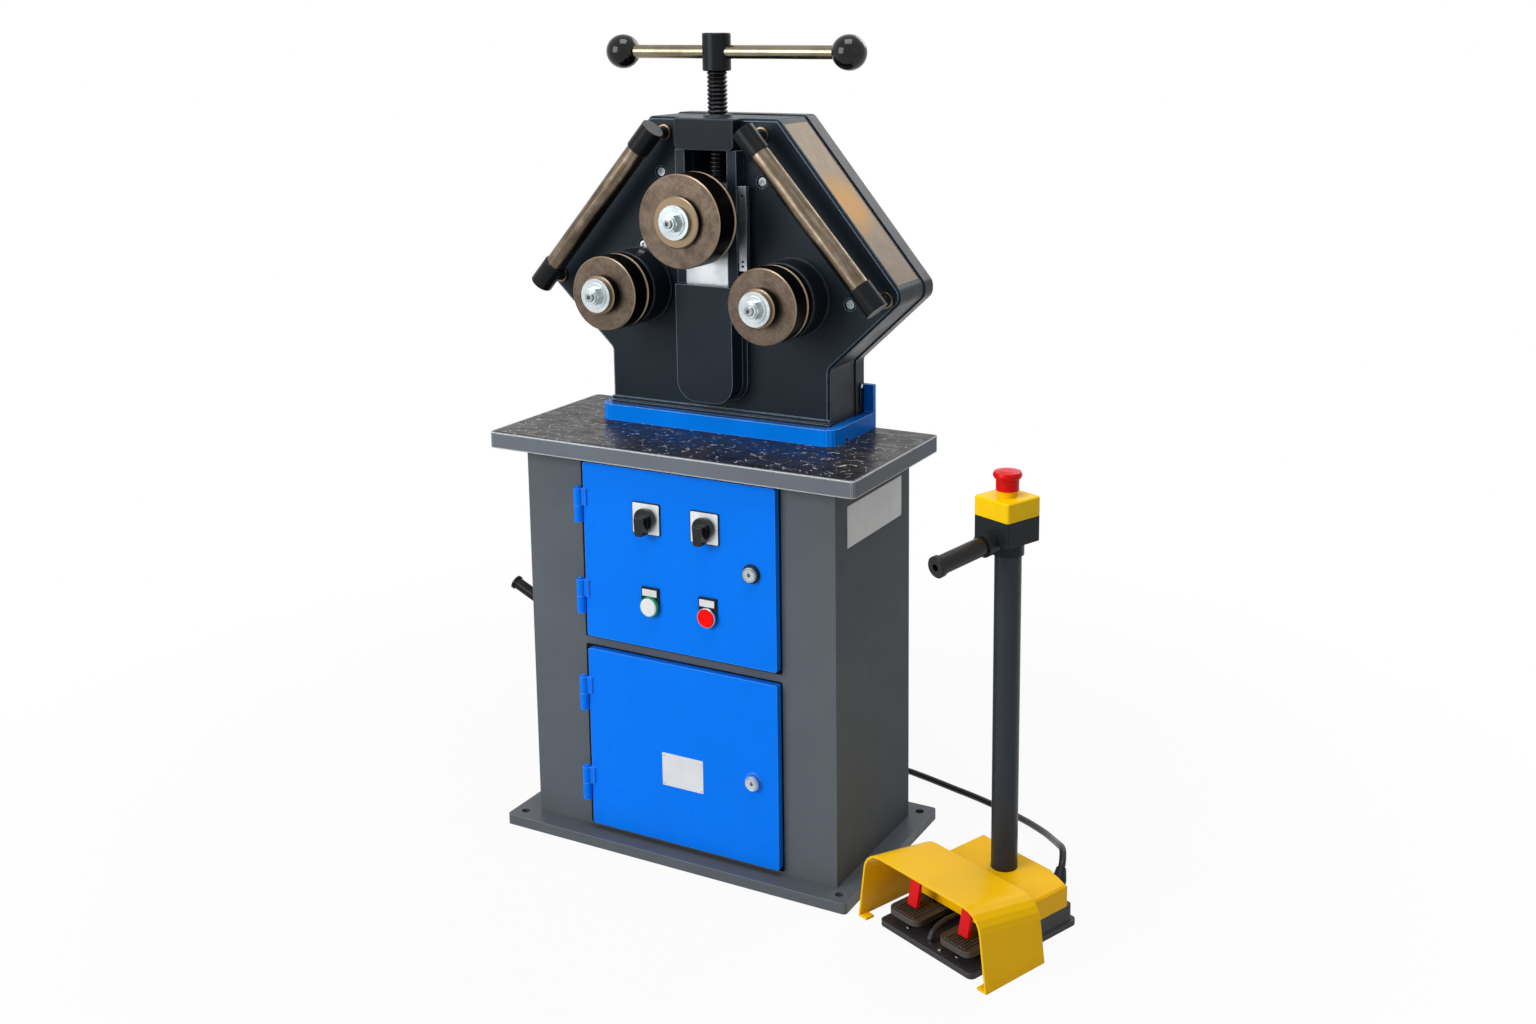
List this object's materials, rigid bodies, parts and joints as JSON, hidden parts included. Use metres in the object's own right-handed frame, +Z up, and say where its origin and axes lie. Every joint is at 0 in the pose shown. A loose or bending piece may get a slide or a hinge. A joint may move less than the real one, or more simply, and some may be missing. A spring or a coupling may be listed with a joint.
{
  "type": "ring roller",
  "caption": "Floor-standing ring roller: cabinet stand with doors and controls, screw-fed upper roll over driven lower rolls, corded foot pedal with stop post.",
  "frame": {"origin": "centre of the four anchor holes on the underside of the floor plate", "axes": "+X to the operator's right, +Y from the front to the back, +Z up"},
  "size_m": [0.9376, 0.6173, 1.221],
  "materials": {
    "plate_black": "black powder coat",
    "cabinet_grey": "satin grey paint",
    "table_mat": "embossed dark top with a bright rim",
    "door_blue": "gloss blue paint",
    "base_blue": "gloss blue paint",
    "zinc_sheet": "zinc plated",
    "head_black": "satin blue-black paint",
    "zinc_bright": "bright zinc",
    "slide_steel": "ground steel",
    "scale_steel": "brushed steel",
    "roll_steel": "turned tool steel with blackened rims",
    "shaft_steel": "turned steel",
    "grab_steel": "bronzed steel tube",
    "bar_steel": "polished bar",
    "knob_black": "polished black",
    "gear_steel": "cut gear steel",
    "case_grey": "cast and painted",
    "motor_grey": "cast and painted",
    "fitting_black": "moulded black",
    "button_white": "gloss",
    "button_red": "gloss",
    "screw_black": "black",
    "lock_zinc": "zinc plated",
    "pedal_black": "moulded black",
    "cover_yellow": "gloss yellow",
    "hood_yellow": "gloss yellow powder coat",
    "lever_red": "gloss red",
    "post_black": "satin black tube",
    "lid_yellow": "gloss yellow",
    "stop_red": "gloss red",
    "grip_black": "satin black grip",
    "cable_black": "satin black cable jacket"
  },
  "bodies": {
    "root": {"floor_plate": "plate_black", "cabinet_shell": "cabinet_grey", "back_panel": "cabinet_grey", "table_top": "table_mat", "hinge_knuckles": "door_blue", "control_plate": "zinc_sheet", "storage_peg": "post_black", "cable_glands": "fitting_black", "base_block": "base_blue", "front_casting": "head_black", "rear_cover": "head_black", "head_bolts": "zinc_bright", "bridge_block": "head_black", "guide_rails": "head_black", "apron_cover": "head_black", "scale_strip": "scale_steel", "grab_tubes": "grab_steel", "grab_sockets": "screw_black", "bearing_housings": "head_black", "gear_case": "case_grey", "drive_motor": "motor_grey", "pedal_base": "pedal_black", "pedal_cover": "cover_yellow", "pedal_hood": "hood_yellow", "stop_post": "post_black", "stop_box": "fitting_black", "stop_box_lid": "lid_yellow", "stop_grip": "grip_black", "cable_lead": "cable_black", "cable_coil": "cable_black", "cable_run": "cable_black"},
    "upper_door": {"upper_door": "door_blue", "control_fittings": "fitting_black"},
    "lower_door": {"lower_door": "door_blue"},
    "upper_lock": {"upper_lock": "lock_zinc"},
    "lower_lock": {"lower_lock": "lock_zinc"},
    "left_switch": {"left_switch_knob": "fitting_black"},
    "right_switch": {"right_switch_knob": "fitting_black"},
    "start_button": {"start_button": "button_white"},
    "stop_button": {"stop_button": "button_red"},
    "slide": {"slide_block": "slide_steel"},
    "screw": {"lead_screw": "screw_black", "handle_hub": "screw_black"},
    "handle_bar": {"tommy_bar": "bar_steel", "ball_knobs": "knob_black"},
    "upper_roll": {"upper_roll": "roll_steel", "upper_shaft": "shaft_steel", "upper_nut": "zinc_bright"},
    "left_roll": {"left_roll": "roll_steel", "left_shaft": "shaft_steel", "left_nut": "zinc_bright"},
    "right_roll": {"right_roll": "roll_steel", "right_shaft": "shaft_steel", "right_nut": "zinc_bright"},
    "pinion": {"drive_pinion": "gear_steel"},
    "left_pedal": {"left_pedal": "pedal_black"},
    "right_pedal": {"right_pedal": "pedal_black"},
    "left_lever": {"left_lever": "lever_red"},
    "right_lever": {"right_lever": "lever_red"},
    "mushroom": {"stop_mushroom": "stop_red"}
  },
  "joints": [
    {"name": "upper_door_hinge", "type": "hinge", "parent": "root", "child": "upper_door", "pos_m": [-0.156, -0.137, 0.4627], "axis": [0, 0, -1], "range_deg": [0, 120]},
    {"name": "lower_door_hinge", "type": "hinge", "parent": "root", "child": "lower_door", "pos_m": [-0.156, -0.137, 0.167], "axis": [0, 0, -1], "range_deg": [0, 120]},
    {"name": "upper_lock_turn", "type": "hinge", "parent": "upper_door", "child": "upper_lock", "pos_m": [0.139, -0.1355, 0.469], "axis": [0, -1, 0], "range_deg": [0, 90]},
    {"name": "lower_lock_turn", "type": "hinge", "parent": "lower_door", "child": "lower_lock", "pos_m": [0.138, -0.1355, 0.155], "axis": [0, -1, 0], "range_deg": [0, 90]},
    {"name": "left_switch_turn", "type": "hinge", "parent": "upper_door", "child": "left_switch", "pos_m": [-0.0364, -0.1355, 0.5256], "axis": [0, 1, 0], "range_deg": [0, 90]},
    {"name": "right_switch_turn", "type": "hinge", "parent": "upper_door", "child": "right_switch", "pos_m": [0.0631, -0.1355, 0.5256], "axis": [0, 1, 0], "range_deg": [0, 90]},
    {"name": "start_button_press", "type": "slide", "parent": "upper_door", "child": "start_button", "axis": [0, 1, 0], "range_m": [0, 0.004], "stiffness_N_per_m": 400, "springref_m": -0.002},
    {"name": "stop_button_press", "type": "slide", "parent": "upper_door", "child": "stop_button", "axis": [0, 1, 0], "range_m": [0, 0.004], "stiffness_N_per_m": 400, "springref_m": -0.002},
    {"name": "roll_slide", "type": "slide", "parent": "root", "child": "slide", "axis": [0, 0, 1], "range_m": [-0.04, 0.045]},
    {"name": "screw_turn", "type": "hinge", "parent": "slide", "child": "screw", "pos_m": [0, 0.022, 1.1], "axis": [0, 0, 1], "range_deg": [-2399, 2699]},
    {"name": "bar_slide", "type": "slide", "parent": "screw", "child": "handle_bar", "axis": [1, 0, 0], "range_m": [-0.169, 0.116]},
    {"name": "upper_roll_spin", "type": "hinge", "parent": "slide", "child": "upper_roll", "pos_m": [0, -0.0645, 0.956], "axis": [0, 1, 0], "continuous": true},
    {"name": "left_roll_spin", "type": "hinge", "parent": "root", "child": "left_roll", "pos_m": [-0.134, -0.0645, 0.8425], "axis": [0, 1, 0], "continuous": true},
    {"name": "right_roll_spin", "type": "hinge", "parent": "root", "child": "right_roll", "pos_m": [0.134, -0.0645, 0.8425], "axis": [0, 1, 0], "continuous": true},
    {"name": "pinion_spin", "type": "hinge", "parent": "root", "child": "pinion", "pos_m": [0, 0.101, 0.8425], "axis": [0, 1, 0], "continuous": true},
    {"name": "left_pedal_press", "type": "hinge", "parent": "root", "child": "left_pedal", "pos_m": [0.42117, -0.08567, 0.025], "axis": [0.9249, -0.3801, 0], "range_deg": [0, 8], "stiffness_Nm_per_rad": 2, "springref_deg": -5.73},
    {"name": "right_pedal_press", "type": "hinge", "parent": "root", "child": "right_pedal", "pos_m": [0.51273, -0.1233, 0.025], "axis": [0.9249, -0.3801, 0], "range_deg": [0, 8], "stiffness_Nm_per_rad": 2, "springref_deg": -5.73},
    {"name": "left_lever_push", "type": "hinge", "parent": "root", "child": "left_lever", "pos_m": [0.40102, -0.13469, 0.08], "axis": [0.9249, -0.3801, 0], "range_deg": [0, 14], "stiffness_Nm_per_rad": 0.1, "springref_deg": -5.73},
    {"name": "right_lever_push", "type": "hinge", "parent": "root", "child": "right_lever", "pos_m": [0.49259, -0.17232, 0.08], "axis": [0.9249, -0.3801, 0], "range_deg": [0, 14], "stiffness_Nm_per_rad": 0.1, "springref_deg": -5.73},
    {"name": "mushroom_press", "type": "slide", "parent": "root", "child": "mushroom", "axis": [0, 0, -1], "range_m": [0, 0.005]}
  ],
  "couplings": [
    {"joint": "roll_slide", "follows": "screw_turn", "m_per_rad": 0.00095493},
    {"joint": "right_roll_spin", "follows": "left_roll_spin", "ratio": 1},
    {"joint": "pinion_spin", "follows": "left_roll_spin", "ratio": -1.68}
  ]
}
